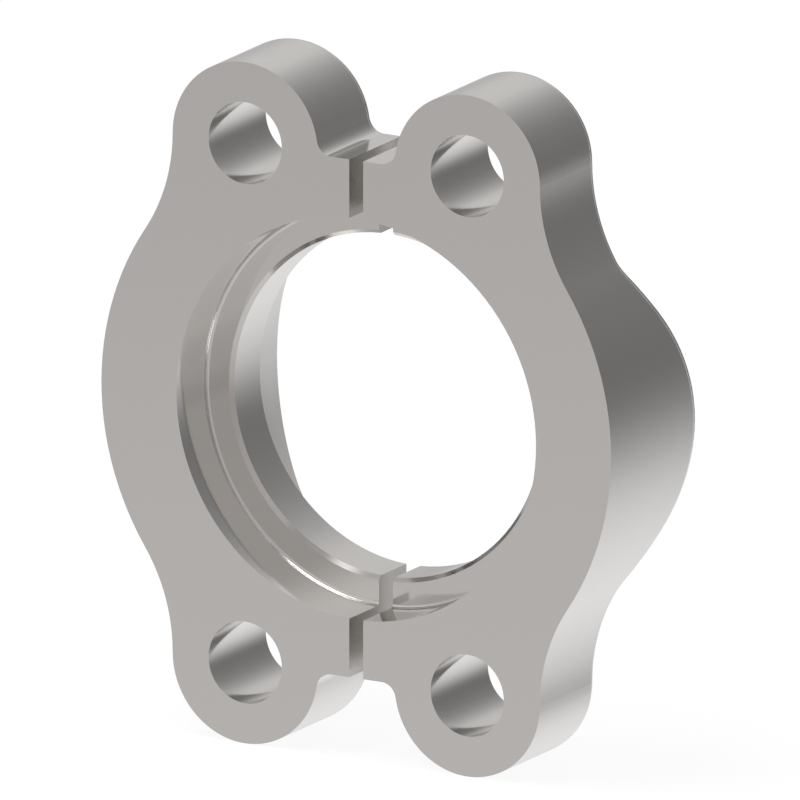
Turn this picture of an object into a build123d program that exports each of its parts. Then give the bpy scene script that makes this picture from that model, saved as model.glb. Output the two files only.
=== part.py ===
from build123d import *
import math
import os

os.makedirs("parts", exist_ok=True)

# Split flange clamp in millimetres: two half flanges that bolt a flanged pipe end to a port.
# The flow axis is Y. The mating face lies on the XZ plane at Y = 0 and the bolt seats face +Y.

# Bolt pattern
bolt_spacing_x = 31.8
bolt_spacing_z = 66.7
bolt_hole_dia = 10.5

# Outline seen along the flow axis
body_dia = 73.0
ear_dia = 20.8
ear_blend_radius = 23.0
tip_span = 66.5
tip_corner_radius = 2.0
split_gap = 2.0

# Heights above the mating face
seat_height = 14.2
crown_height = 22.0
crown_radius = 26.5
flank_angle = 33.0
crown_root_radius = 2.0
back_edge_radius = 1.6

# Stepped bore
recess_dia = 51.5
recess_depth = 7.4
bore_dia = 44.0
bore_chamfer = 0.5
relief_dia = 46.7
relief_draft = 5.0

# Sizes that follow from the ones above
overall_length = bolt_spacing_z + ear_dia
notch_depth = (overall_length - tip_span) / 2
notch_centre_z = (overall_length + tip_span) / 4
flank_slope = math.tan(math.radians(flank_angle))
ridge_height = crown_height + crown_radius * (math.hypot(1, flank_slope) - 1)
crown_half_span = (ridge_height - seat_height) / flank_slope

# Mating face and the plane of the bolt seats
mating_plane = Plane.XZ
seat_plane = mating_plane.offset(-seat_height)

# Outline of the closed pair: a round body, notched at the split, with an ear for each bolt
with BuildSketch(mating_plane) as outline:
    Circle(body_dia / 2)
    with GridLocations(0, 2 * notch_centre_z, 1, 2):
        Rectangle(bolt_spacing_x, notch_depth, mode=Mode.SUBTRACT)
    with GridLocations(bolt_spacing_x, bolt_spacing_z, 2, 2):
        Circle(ear_dia / 2)
    tip_corners = outline.vertices().group_by(lambda corner: round(abs(corner.X), 3))[0]
    fillet(tip_corners, radius=tip_corner_radius)
    ear_corners = outline.vertices().group_by(lambda corner: round(abs(corner.X), 3))[-1]
    fillet(ear_corners, radius=ear_blend_radius)

# Side profile: flat bolt seats at both ends, and between them a crown with straight flanks
# and an arched top
with BuildSketch(Plane.YZ.offset(-body_dia / 2)) as side_profile:
    with BuildLine():
        Polyline(
            (seat_height, crown_half_span),
            (seat_height, overall_length / 2),
            (0, overall_length / 2),
            (0, -overall_length / 2),
            (seat_height, -overall_length / 2),
            (seat_height, -crown_half_span),
            (ridge_height, 0),
            close=True,
        )
    make_face()
    fillet(side_profile.vertices().sort_by(Axis.X)[-1], radius=crown_radius)

# Forging: the outline as high as the side profile, with the rim of its back rounded.
# The rim is tangent all the way round, so the two crown edges carry the rounding along it.
with BuildPart() as ring:
    extrude(outline.sketch, amount=-crown_height)
    extrude(side_profile.sketch, amount=body_dia, mode=Mode.INTERSECT)
    crown_roots = ring.edges().filter_by(Axis.X).sort_by(
        lambda edge: abs(abs(edge.center().Z) - crown_half_span)
    )[:2]
    fillet(crown_roots, radius=crown_root_radius)
    crown_edges = ring.edges().sort_by(Axis.Y)[-2:]
    fillet(crown_edges, radius=back_edge_radius)

    # Bore: relieved inside the crown and recessed for the pipe flange
    with BuildSketch(seat_plane):
        Circle(relief_dia / 2)
    extrude(amount=seat_height - crown_height, taper=-relief_draft, mode=Mode.SUBTRACT)
    with BuildSketch(mating_plane):
        Circle(bore_dia / 2)
    extrude(amount=-seat_height, mode=Mode.SUBTRACT)
    with BuildSketch(mating_plane):
        Circle(recess_dia / 2)
    extrude(amount=-recess_depth, mode=Mode.SUBTRACT)
    recess_floor = ring.faces().filter_by(Axis.Y).sort_by(Axis.Y)[1]
    chamfer(recess_floor.inner_wires()[0].edges(), length=bore_chamfer)

    # Bolt holes: drilled through to the seats
    with BuildSketch(mating_plane):
        with GridLocations(bolt_spacing_x, bolt_spacing_z, 2, 2):
            Circle(bolt_hole_dia / 2)
    extrude(amount=-seat_height, mode=Mode.SUBTRACT)

# Right half flange, on the +X side of the saw cut
with BuildPart() as right_half:
    add(ring.part)
    split(bisect_by=Plane.YZ.offset(split_gap / 2), keep=Keep.TOP)
right_half.part.label = "right_half"

# Left half flange, the same piece turned half a turn about the flow axis
with BuildPart() as left_half:
    add(ring.part)
    split(bisect_by=Plane.YZ.offset(-split_gap / 2), keep=Keep.BOTTOM)
left_half.part.label = "left_half"

export_step(right_half.part, "parts/right_half.step")
export_step(left_half.part, "parts/left_half.step")
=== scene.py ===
import math

import bmesh
import bpy
from mathutils import Matrix, Vector


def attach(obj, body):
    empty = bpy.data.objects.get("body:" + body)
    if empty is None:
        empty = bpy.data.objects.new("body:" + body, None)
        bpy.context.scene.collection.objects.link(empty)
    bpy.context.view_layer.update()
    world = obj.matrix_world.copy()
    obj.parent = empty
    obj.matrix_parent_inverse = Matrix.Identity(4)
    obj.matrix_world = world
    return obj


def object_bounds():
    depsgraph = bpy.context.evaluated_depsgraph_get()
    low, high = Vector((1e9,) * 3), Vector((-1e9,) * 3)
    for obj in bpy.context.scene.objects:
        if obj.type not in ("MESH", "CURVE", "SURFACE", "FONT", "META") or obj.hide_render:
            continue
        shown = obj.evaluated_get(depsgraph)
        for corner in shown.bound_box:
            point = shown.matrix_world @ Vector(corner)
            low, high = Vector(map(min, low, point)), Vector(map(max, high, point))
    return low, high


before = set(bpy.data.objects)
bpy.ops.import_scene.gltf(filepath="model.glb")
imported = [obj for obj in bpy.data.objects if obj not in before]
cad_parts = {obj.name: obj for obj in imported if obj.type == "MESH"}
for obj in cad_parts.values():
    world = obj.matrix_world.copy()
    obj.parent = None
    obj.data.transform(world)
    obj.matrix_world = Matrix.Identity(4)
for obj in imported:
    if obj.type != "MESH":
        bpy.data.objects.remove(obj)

cad_lowest, cad_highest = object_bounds()


# Half flanges: two drop-forged steel halves of a split flange clamp. The mating face, the recess
# and the bore are turned with the pair closed, then the halves are sawn apart. The outside keeps
# its smooth forged skin, and all of it has a thin bright zinc-nickel plating.

plated_colour = (0.772, 0.761, 0.745)
plated_shades = (0.985, 1.015)
# The edges are painted a lighter colour, partly as burnished wear and partly as a painted edge
# highlight.
burnished_and_highlight_colour = (0.82, 0.81, 0.79)
burnished_and_highlight_share = 0.6
sawn_colour = (0.724, 0.708, 0.690)
sawn_roughness = 0.22
turned_roughness = 0.09
forged_roughness = 0.12
roughness_spread = 0.03
mark_depth = 0.00000005
middle_height = 0.5
feed_per_turn = 0.00018
line_detail = 2.0
forged_grain_size = 0.0016
grain_detail = 3.0
# The width of that lighter edge band, both burnished wear and painted edge highlight.
burnished_and_highlight_edge_width = 0.00012
edge_samples = 4

# Where each finish sets in: none of it at the first number, all of it at the second. The first
# three pairs are lengths. The others are cosines of the angle between two directions.
saw_cut_fade = (0.00105, 0.00102)
bore_radius_fade = (0.0264, 0.0262)
front_depth_fade = (0.0135, 0.0120)
facing_across_fade = (0.990, 0.996)
facing_along_fade = (0.80, 0.95)
# The last pair sets where the edges turn lighter, as burnished wear and as a painted edge
# highlight.
worn_and_highlight_edge_fade = (0.995, 0.80)


def wire(tree, source, socket, target, name):
    tree.links.new(source.outputs[socket], target.inputs[name])


def feed_socket(tree, socket, given):
    if isinstance(given, (int, float)):
        socket.default_value = given
    else:
        tree.links.new(given, socket)


def work_out(tree, operation, first, second=0.0):
    step = tree.nodes.new("ShaderNodeMath")
    step.operation = operation
    feed_socket(tree, step.inputs[0], first)
    feed_socket(tree, step.inputs[1], second)
    return step.outputs["Value"]


def fade(tree, value, start, end, full=1.0):
    step = tree.nodes.new("ShaderNodeMapRange")
    step.interpolation_type = "SMOOTHSTEP"
    step.inputs["To Max"].default_value = full
    feed_socket(tree, step.inputs["Value"], value)
    feed_socket(tree, step.inputs["From Min"], start)
    feed_socket(tree, step.inputs["From Max"], end)
    return step.outputs["Result"]


def split_axes(tree, vector):
    parts = tree.nodes.new("ShaderNodeSeparateXYZ")
    tree.links.new(vector, parts.inputs["Vector"])
    return parts.outputs


def make_machining_marks():
    group = bpy.data.node_groups.new("machining marks", "ShaderNodeTree")
    for name in ("Feed", "Grain Size", "Edge Width"):
        group.interface.new_socket(name, in_out="INPUT", socket_type="NodeSocketFloat")
    for name in ("Turned", "Sawn", "Height", "Worn And Highlight Edge"):
        group.interface.new_socket(name, in_out="OUTPUT", socket_type="NodeSocketFloat")
    given = group.nodes.new("NodeGroupInput")
    result = group.nodes.new("NodeGroupOutput")

    place = group.nodes.new("ShaderNodeTexCoord")
    x, y, z = split_axes(group, place.outputs["Object"])
    x_squared = work_out(group, "MULTIPLY", x, x)
    z_squared = work_out(group, "MULTIPLY", z, z)
    radius = work_out(group, "SQRT", work_out(group, "ADD", x_squared, z_squared))
    shape = group.nodes.new("ShaderNodeNewGeometry")
    facing = split_axes(group, shape.outputs["Normal"])

    # The saw cut is the flat faces that look across the clamp and lie at the split.
    at_the_cut = fade(group, work_out(group, "ABSOLUTE", x), *saw_cut_fade)
    across = fade(group, work_out(group, "ABSOLUTE", facing["X"]), *facing_across_fade)
    sawn = work_out(group, "MULTIPLY", at_the_cut, across)

    # The turned faces are the whole bore, and the flat faces at the front.
    flat = fade(group, work_out(group, "ABSOLUTE", facing["Y"]), *facing_along_fade)
    in_the_bore = fade(group, radius, *bore_radius_fade)
    front_end = fade(group, y, *front_depth_fade)
    turned_face = work_out(group, "MULTIPLY", flat, front_end)
    turned = work_out(group, "MAXIMUM", in_the_bore, turned_face)

    # Tool lines run round the axis on the turned faces, and straight over the saw cut.
    tool_path = work_out(group, "ADD", work_out(group, "MULTIPLY", radius, flat), y)
    tool_path = work_out(group, "ADD", tool_path, work_out(group, "MULTIPLY", z, sawn))
    turns = work_out(group, "DIVIDE", tool_path, given.outputs["Feed"])
    lines = group.nodes.new("ShaderNodeTexNoise")
    lines.noise_dimensions = "1D"
    lines.inputs["Scale"].default_value = 1.0
    lines.inputs["Detail"].default_value = line_detail
    group.links.new(turns, lines.inputs["W"])

    grain = group.nodes.new("ShaderNodeTexNoise")
    grain.inputs["Detail"].default_value = grain_detail
    grain_scale = work_out(group, "DIVIDE", 1.0, given.outputs["Grain Size"])
    group.links.new(grain_scale, grain.inputs["Scale"])
    wire(group, place, "Object", grain, "Vector")

    height = group.nodes.new("ShaderNodeMix")
    group.links.new(work_out(group, "MAXIMUM", turned, sawn), height.inputs["Factor"])
    wire(group, grain, "Fac", height, "A")
    wire(group, lines, "Fac", height, "B")

    # Near an edge the rounded normal leans away from the face. This marks the edges that are
    # painted lighter, as burnished wear and as a painted edge highlight.
    rounded = group.nodes.new("ShaderNodeBevel")
    rounded.samples = edge_samples
    wire(group, given, "Edge Width", rounded, "Radius")
    likeness = group.nodes.new("ShaderNodeVectorMath")
    likeness.operation = "DOT_PRODUCT"
    wire(group, rounded, "Normal", likeness, 0)
    wire(group, shape, "Normal", likeness, 1)
    worn_and_highlight_edge = fade(group, likeness.outputs["Value"], *worn_and_highlight_edge_fade)

    group.links.new(turned, result.inputs["Turned"])
    group.links.new(sawn, result.inputs["Sawn"])
    wire(group, height, "Result", result, "Height")
    group.links.new(worn_and_highlight_edge, result.inputs["Worn And Highlight Edge"])
    return group


def make_plated_steel(name, marks):
    material = bpy.data.materials.new(name)
    material.use_nodes = True
    tree = material.node_tree
    shader = tree.nodes["Principled BSDF"]
    shader.inputs["Metallic"].default_value = 1.0

    finish = tree.nodes.new("ShaderNodeGroup")
    finish.node_tree = marks
    finish.inputs["Feed"].default_value = feed_per_turn
    finish.inputs["Grain Size"].default_value = forged_grain_size
    finish.inputs["Edge Width"].default_value = burnished_and_highlight_edge_width

    tone = tree.nodes.new("ShaderNodeMix")
    tone.data_type = "RGBA"
    for socket, shade in zip(("A", "B"), plated_shades):
        tone.inputs[socket].default_value = (*(shade * part for part in plated_colour), 1)
    wire(tree, finish, "Height", tone, "Factor")
    # The edges are painted lighter here, partly as burnished wear and partly as a painted edge
    # highlight.
    wear_and_highlight_tone = tree.nodes.new("ShaderNodeMix")
    wear_and_highlight_tone.data_type = "RGBA"
    wear_and_highlight_tone.inputs["B"].default_value = (*burnished_and_highlight_colour, 1)
    wear_and_highlight = work_out(tree, "MULTIPLY", finish.outputs["Worn And Highlight Edge"], burnished_and_highlight_share)
    tree.links.new(wear_and_highlight, wear_and_highlight_tone.inputs["Factor"])
    wire(tree, tone, "Result", wear_and_highlight_tone, "A")
    cut_tone = tree.nodes.new("ShaderNodeMix")
    cut_tone.data_type = "RGBA"
    cut_tone.inputs["B"].default_value = (*sawn_colour, 1)
    wire(tree, finish, "Sawn", cut_tone, "Factor")
    wire(tree, wear_and_highlight_tone, "Result", cut_tone, "A")
    wire(tree, cut_tone, "Result", shader, "Base Color")

    smoothness = tree.nodes.new("ShaderNodeMapRange")
    smoothness.inputs["To Min"].default_value = forged_roughness
    smoothness.inputs["To Max"].default_value = turned_roughness
    wire(tree, finish, "Turned", smoothness, "Value")
    cut_roughness = tree.nodes.new("ShaderNodeMix")
    cut_roughness.inputs["B"].default_value = sawn_roughness
    wire(tree, finish, "Sawn", cut_roughness, "Factor")
    wire(tree, smoothness, "Result", cut_roughness, "A")
    above_middle = work_out(tree, "SUBTRACT", finish.outputs["Height"], middle_height)
    uneven = work_out(tree, "MULTIPLY", above_middle, roughness_spread)
    roughness = work_out(tree, "ADD", cut_roughness.outputs["Result"], uneven)
    tree.links.new(roughness, shader.inputs["Roughness"])

    relief = tree.nodes.new("ShaderNodeBump")
    relief.inputs["Distance"].default_value = mark_depth
    wire(tree, finish, "Height", relief, "Height")
    wire(tree, relief, "Normal", shader, "Normal")
    return material


machining_marks = make_machining_marks()
plated_steel = {}
for half_name in ("right_half", "left_half"):
    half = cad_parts[half_name]
    plated_steel[half_name] = make_plated_steel(f"plated steel, {half_name}", machining_marks)
    half.data.materials.clear()
    half.data.materials.append(plated_steel[half_name])


# Recess roots: the small radius that the turning tool's nose leaves in the corner between the
# recess wall and its floor. It is part of each half, and ends flush with the saw cut.

recess_radius = 0.02575
recess_depth = 0.0074
root_radius = 0.00045
half_gap = 0.001
root_steps = 12
turn_steps = 200


def make_recess_root(name, side):
    section = []
    for step in range(root_steps + 1):
        bend = math.pi / 2 * step / root_steps
        section.append((
            recess_radius - root_radius + root_radius * math.cos(bend),
            recess_depth - root_radius + root_radius * math.sin(bend),
        ))
    section.append((recess_radius, recess_depth))

    form = bmesh.new()
    cut_angle = math.asin(half_gap / recess_radius)
    rings = []
    for turn in range(turn_steps + 1):
        angle = cut_angle + (math.pi - 2 * cut_angle) * turn / turn_steps
        rings.append([
            form.verts.new((side * radius * math.sin(angle), depth, radius * math.cos(angle)))
            for radius, depth in section
        ])
    for near, far in zip(rings, rings[1:]):
        for step in range(len(section)):
            after = (step + 1) % len(section)
            face = form.faces.new((near[step], near[after], far[after], far[step]))
            face.smooth = step < root_steps
    form.faces.new(rings[0])
    form.faces.new(rings[-1])
    bmesh.ops.recalc_face_normals(form, faces=form.faces)
    for edge in form.edges:
        edge.smooth = all(face.smooth for face in edge.link_faces)
    mesh = bpy.data.meshes.new(name)
    form.to_mesh(mesh)
    form.free()
    root = bpy.data.objects.new(name, mesh)
    bpy.context.scene.collection.objects.link(root)
    return root


for half_name, side in (("right_half", 1), ("left_half", -1)):
    recess_root = make_recess_root(f"recess_root_{half_name}", side)
    recess_root.data.materials.append(plated_steel[half_name])
    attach(recess_root, "root")


# Floor: a wide sheet of white paper under the clamp, which stands on the round ends of its ears.
# The camera sees it lit evenly to white, with a faint shadow round the ears that touch it.

paper_half_width = 3.0
paper_white = (0.90, 0.90, 0.90)
paper_roughness = 0.9
shadow_share = 0.08


def find_seen_rays(tree):
    ray = tree.nodes.new("ShaderNodeLightPath")
    seen = work_out(tree, "MAXIMUM", ray.outputs["Is Camera Ray"], ray.outputs["Is Glossy Ray"])
    return work_out(tree, "MAXIMUM", seen, ray.outputs["Is Transmission Ray"])


paper_mesh = bpy.data.meshes.new("paper floor")
paper_mesh.from_pydata(
    [
        (side_x * paper_half_width, side_y * paper_half_width, cad_lowest.z)
        for side_x, side_y in ((-1, -1), (1, -1), (1, 1), (-1, 1))
    ],
    [],
    [(0, 1, 2, 3)],
)
paper = bpy.data.objects.new("paper_floor", paper_mesh)
bpy.context.scene.collection.objects.link(paper)
paper.visible_glossy = False

paper_material = bpy.data.materials.new("white paper")
paper_material.use_nodes = True
paper_tree = paper_material.node_tree
paper_shader = paper_tree.nodes["Principled BSDF"]
paper_shader.inputs["Base Color"].default_value = (*paper_white, 1)
paper_shader.inputs["Roughness"].default_value = paper_roughness
paper_shader.inputs["Specular IOR Level"].default_value = 0.0
paper_glow = paper_tree.nodes.new("ShaderNodeEmission")
paper_glow.inputs["Strength"].default_value = 1.0
paper_blend = paper_tree.nodes.new("ShaderNodeMixShader")
even_light = work_out(paper_tree, "MULTIPLY", find_seen_rays(paper_tree), 1 - shadow_share)
paper_tree.links.new(even_light, paper_blend.inputs["Fac"])
wire(paper_tree, paper_shader, "BSDF", paper_blend, 1)
wire(paper_tree, paper_glow, "Emission", paper_blend, 2)
wire(paper_tree, paper_blend, "Shader", paper_tree.nodes["Material Output"], "Surface")
paper_mesh.materials.append(paper_material)


# Light tent: a round grey cloth shell, 1.9 m wide, hung round the clamp and open to white below.
# Five soft lamps and two tube lamps shine through the cloth, and its folds stay darker. It is
# there for the steel to reflect, so only glossy rays meet it.

tent_radius = 0.941
tent_grey = (0.481, 0.463, 0.456)
lamp_white = (1.0, 1.0, 1.0)
shell_segments = 64
shell_rings = 32

# The cloth thins out down to its hem, which hangs lower at the front. It is also a little thinner
# low down at the front. Heights and places on a shell are shares of its radius.
hem_slope = 1.691
hem_drop = 1.817
cloth_full_height = 0.187
thin_low_fade = (-0.181, -0.323)
thin_front_fade = (0.0, -0.6)
thin_share = 0.160

# Lamps and folds are round. Each sets in as the cosine of the angle from its middle goes from
# edge to core.
tent_lamps = dict(
    rear=dict(azimuth=-8.0, elevation=34.6, edge=0.483, core=1.151, level=0.580),
    front=dict(azimuth=-156.5, elevation=22.4, edge=0.930, core=1.083, level=0.638),
    left=dict(azimuth=-130.0, elevation=36.0, edge=0.940, core=0.990, level=0.200),
    high_left=dict(azimuth=-68.0, elevation=53.0, edge=0.955, core=0.995, level=1.100),
    right=dict(azimuth=78.0, elevation=4.0, edge=0.951, core=0.998, level=1.500),
)
tent_folds = dict(
    rear=dict(azimuth=30.3, elevation=42.7, edge=0.789, core=1.101, depth=0.957),
    low_front=dict(azimuth=154.0, elevation=-20.0, edge=0.970, core=0.998, depth=0.190),
    high_front=dict(azimuth=162.0, elevation=60.0, edge=0.956, core=0.996, depth=0.260),
)

# Tube lamps lie over the top, square to their azimuth and off the middle by the offset. They set
# in between the heights low and high.
tube_lamps = dict(
    long=dict(
        azimuth=112.9, offset=0.011, edge=0.206, core=0.000, low=0.818, high=0.943, level=0.655
    ),
    short=dict(
        azimuth=21.8, offset=0.223, edge=0.140, core=0.070, low=0.880, high=0.940, level=4.000
    ),
)


def make_shell(name, radius):
    mesh = bpy.data.meshes.new(name)
    form = bmesh.new()
    bmesh.ops.create_uvsphere(
        form, u_segments=shell_segments, v_segments=shell_rings, radius=radius
    )
    form.to_mesh(mesh)
    form.free()
    shell = bpy.data.objects.new(name, mesh)
    bpy.context.scene.collection.objects.link(shell)
    shell.visible_camera = False
    shell.visible_diffuse = False
    shell.visible_shadow = False
    material = bpy.data.materials.new(name.replace("_", " "))
    material.use_nodes = True
    material.node_tree.nodes.clear()
    mesh.materials.append(material)
    return material.node_tree


def find_direction(tree):
    place = tree.nodes.new("ShaderNodeTexCoord")
    unit = tree.nodes.new("ShaderNodeVectorMath")
    unit.operation = "NORMALIZE"
    wire(tree, place, "Object", unit, 0)
    return unit.outputs["Vector"]


def towards(tree, direction, azimuth, elevation):
    across, up = math.radians(azimuth), math.radians(elevation)
    product = tree.nodes.new("ShaderNodeVectorMath")
    product.operation = "DOT_PRODUCT"
    tree.links.new(direction, product.inputs[0])
    product.inputs[1].default_value = (
        math.sin(across) * math.cos(up),
        math.cos(across) * math.cos(up),
        math.sin(up),
    )
    return product.outputs["Value"]


def leave_out(tree, whole, share):
    return work_out(tree, "MULTIPLY", whole, work_out(tree, "SUBTRACT", 1.0, share))


tent_tree = make_shell("light_tent", tent_radius)
tent_direction = find_direction(tent_tree)
tent_side = split_axes(tent_tree, tent_direction)
hem_rise = work_out(tent_tree, "MULTIPLY", tent_side["Y"], hem_slope)
hem = work_out(tent_tree, "SUBTRACT", hem_rise, hem_drop)
cloth = fade(tent_tree, tent_side["Z"], hem, cloth_full_height)
thin_low = fade(tent_tree, tent_side["Z"], *thin_low_fade, thin_share)
thin_front = fade(tent_tree, tent_side["Y"], *thin_front_fade)
thinned = work_out(tent_tree, "MULTIPLY", thin_low, thin_front)
cloth = leave_out(tent_tree, cloth, thinned)

cloth_level = 1.0
for fold in tent_folds.values():
    at_the_fold = towards(tent_tree, tent_direction, fold["azimuth"], fold["elevation"])
    folded = fade(tent_tree, at_the_fold, fold["edge"], fold["core"], fold["depth"])
    cloth_level = work_out(tent_tree, "SUBTRACT", cloth_level, folded)

glow = 0.0
for lamp in tent_lamps.values():
    at_the_lamp = towards(tent_tree, tent_direction, lamp["azimuth"], lamp["elevation"])
    spot = fade(tent_tree, at_the_lamp, lamp["edge"], lamp["core"], lamp["level"])
    glow = work_out(tent_tree, "ADD", spot, glow)
for lamp in tube_lamps.values():
    across_the_tube = towards(tent_tree, tent_direction, lamp["azimuth"], 0.0)
    tube_side = work_out(tent_tree, "ADD", across_the_tube, lamp["offset"])
    off_the_tube = work_out(tent_tree, "ABSOLUTE", tube_side)
    tube = fade(tent_tree, off_the_tube, lamp["edge"], lamp["core"], lamp["level"])
    overhead = fade(tent_tree, tent_side["Z"], lamp["low"], lamp["high"])
    glow = work_out(tent_tree, "ADD", glow, work_out(tent_tree, "MULTIPLY", tube, overhead))

tent_glow = tent_tree.nodes.new("ShaderNodeAddShader")
for slot, (colour, level) in enumerate(((tent_grey, cloth_level), (lamp_white, glow))):
    light = tent_tree.nodes.new("ShaderNodeEmission")
    light.inputs["Color"].default_value = (*colour, 1)
    tent_tree.links.new(level, light.inputs["Strength"])
    wire(tent_tree, light, "Emission", tent_glow, slot)
tent_opening = tent_tree.nodes.new("ShaderNodeBsdfTransparent")
tent_blend = tent_tree.nodes.new("ShaderNodeMixShader")
tent_tree.links.new(cloth, tent_blend.inputs["Fac"])
wire(tent_tree, tent_opening, "BSDF", tent_blend, 1)
wire(tent_tree, tent_glow, "Shader", tent_blend, 2)
tent_output = tent_tree.nodes.new("ShaderNodeOutputMaterial")
wire(tent_tree, tent_blend, "Shader", tent_output, "Surface")


# Black net: fine netting hung just inside the tent at the right and rear, thinner low down, with
# a round dark card straight behind the clamp. They give the round walls and rims their dark side.

net_radius = 0.925
net_depth = 0.742
net_side_middle = dict(azimuth=39.8, elevation=-20.0)
net_side_fade = (-0.5, 1.2)
net_rear_fade = (0.992, 0.888)
net_thin_fade = (-0.013, -0.687)
net_thin_share = 0.887
card_fade = (0.935, 0.962)
card_depth = 0.8

net_tree = make_shell("black_net", net_radius)
net_direction = find_direction(net_tree)
net_place = split_axes(net_tree, net_direction)
net_side = fade(net_tree, towards(net_tree, net_direction, **net_side_middle), *net_side_fade)
net_rear = fade(net_tree, net_place["Y"], *net_rear_fade)
net_thin = fade(net_tree, net_place["Z"], *net_thin_fade, net_thin_share)
net_weave = leave_out(net_tree, work_out(net_tree, "MULTIPLY", net_side, net_rear), net_thin)
net_shade = work_out(net_tree, "MULTIPLY", net_weave, net_depth)
net_clear = work_out(net_tree, "SUBTRACT", 1.0, net_shade)
net_clear = leave_out(net_tree, net_clear, fade(net_tree, net_place["Y"], *card_fade, card_depth))
net_tone = net_tree.nodes.new("ShaderNodeCombineColor")
for channel in ("Red", "Green", "Blue"):
    net_tree.links.new(net_clear, net_tone.inputs[channel])
net_gap = net_tree.nodes.new("ShaderNodeBsdfTransparent")
wire(net_tree, net_tone, "Color", net_gap, "Color")
net_output = net_tree.nodes.new("ShaderNodeOutputMaterial")
wire(net_tree, net_gap, "BSDF", net_output, "Surface")


# Studio: white surroundings for the camera and for what the steel reflects, a softer level for
# the rest, and one large soft lamp overhead that gives the floor its shadow.

soft_level = 0.7
white_level = 1.0
soft_lamp_width = 0.6
soft_lamp_power = 7.0
soft_lamp_place = Vector((-0.2, -0.2, 0.9))

world = bpy.data.worlds.new("white studio")
bpy.context.scene.world = world
world.use_nodes = True
world_tree = world.node_tree
world_light = world_tree.nodes["Background"]
world_light.inputs["Color"].default_value = (1, 1, 1, 1)
world_level = world_tree.nodes.new("ShaderNodeMapRange")
world_level.inputs["To Min"].default_value = soft_level
world_level.inputs["To Max"].default_value = white_level
world_tree.links.new(find_seen_rays(world_tree), world_level.inputs["Value"])
wire(world_tree, world_level, "Result", world_light, "Strength")

soft_lamp_data = bpy.data.lights.new("overhead soft lamp", "AREA")
soft_lamp_data.shape = "DISK"
soft_lamp_data.size = soft_lamp_width
soft_lamp_data.energy = soft_lamp_power
soft_lamp = bpy.data.objects.new("overhead_soft_lamp", soft_lamp_data)
soft_lamp.location = soft_lamp_place
soft_lamp.rotation_mode = "QUATERNION"
soft_lamp.rotation_quaternion = (-soft_lamp_place).to_track_quat("-Z", "Y")
soft_lamp.visible_glossy = False
bpy.context.scene.collection.objects.link(soft_lamp)


# Camera: the photograph's view, without perspective, from the right and a little above.

view_azimuth = math.radians(30)
view_elevation = math.radians(15)
view_width = 0.09924
view_distance = 0.5
nearest_seen = 0.01
furthest_seen = 10.0
picture_centre_right = 0.005433
picture_centre_up = 0.002397

look_right = Vector((math.cos(view_azimuth), math.sin(view_azimuth), 0))
look_back = Vector((
    math.sin(view_azimuth) * math.cos(view_elevation),
    -math.cos(view_azimuth) * math.cos(view_elevation),
    math.sin(view_elevation),
))
look_up = look_back.cross(look_right)
picture_centre = look_right * picture_centre_right + look_up * picture_centre_up
camera_data = bpy.data.cameras.new("camera")
camera_data.type = "ORTHO"
camera_data.ortho_scale = view_width
camera_data.clip_start = nearest_seen
camera_data.clip_end = furthest_seen
camera = bpy.data.objects.new("camera", camera_data)
camera.matrix_world = (
    Matrix.Translation(picture_centre + look_back * view_distance)
    @ Matrix((look_right, look_up, look_back)).transposed().to_4x4()
)
bpy.context.scene.collection.objects.link(camera)
bpy.context.scene.camera = camera
bpy.context.scene.view_settings.view_transform = "Standard"
